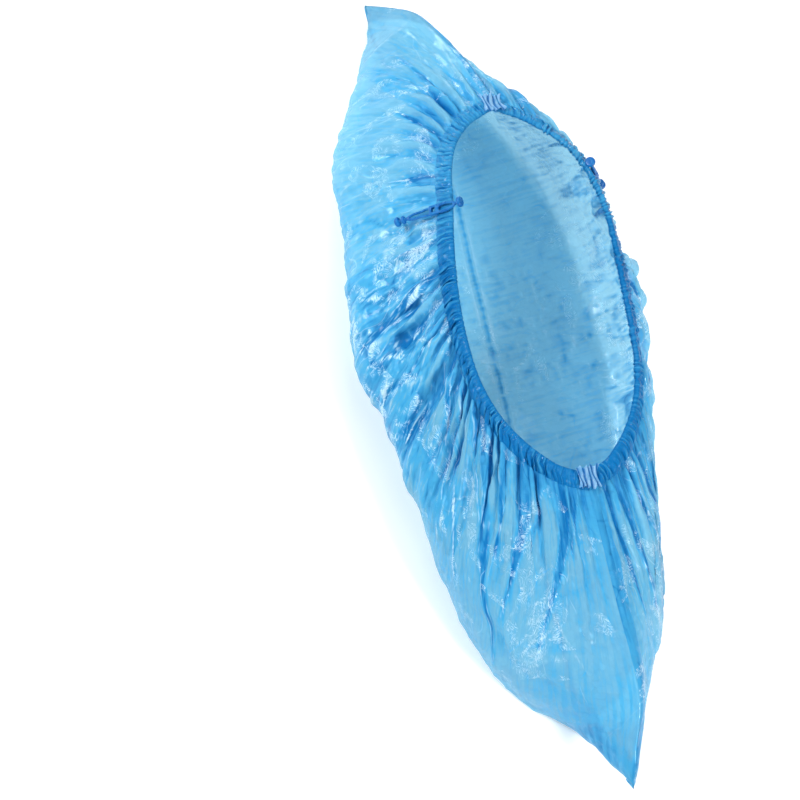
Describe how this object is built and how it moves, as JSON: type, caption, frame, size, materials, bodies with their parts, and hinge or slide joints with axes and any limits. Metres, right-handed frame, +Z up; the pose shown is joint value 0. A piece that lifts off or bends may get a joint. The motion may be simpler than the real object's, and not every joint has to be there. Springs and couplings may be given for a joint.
{
  "type": "shoe cover",
  "caption": "Thin blue film overshoe in its worn form: a bag welded at heel and toe, its opening gathered by an elastic band, with a moulded clip at each side.",
  "frame": {"origin": "inside of the sole, under the middle of the shoe that wears the cover", "axes": "+Z up out of the opening, -Y towards the toe, +X to the wearer's left seen from behind the heel"},
  "size_m": [0.15, 0.405, 0.0854],
  "materials": {
    "film": "thin glossy translucent blue film, finely crinkled",
    "band": "covered elastic, gathered in the film's hem",
    "tab": "pale folded film, several layers",
    "clip": "moulded dark blue plastic, semi-gloss"
  },
  "bodies": {
    "root": {"film_bag": "film", "elastic_band": "band", "toe_tab": "tab", "heel_tab": "tab", "clip_left": "clip", "clip_right": "clip"}
  },
  "joints": []
}
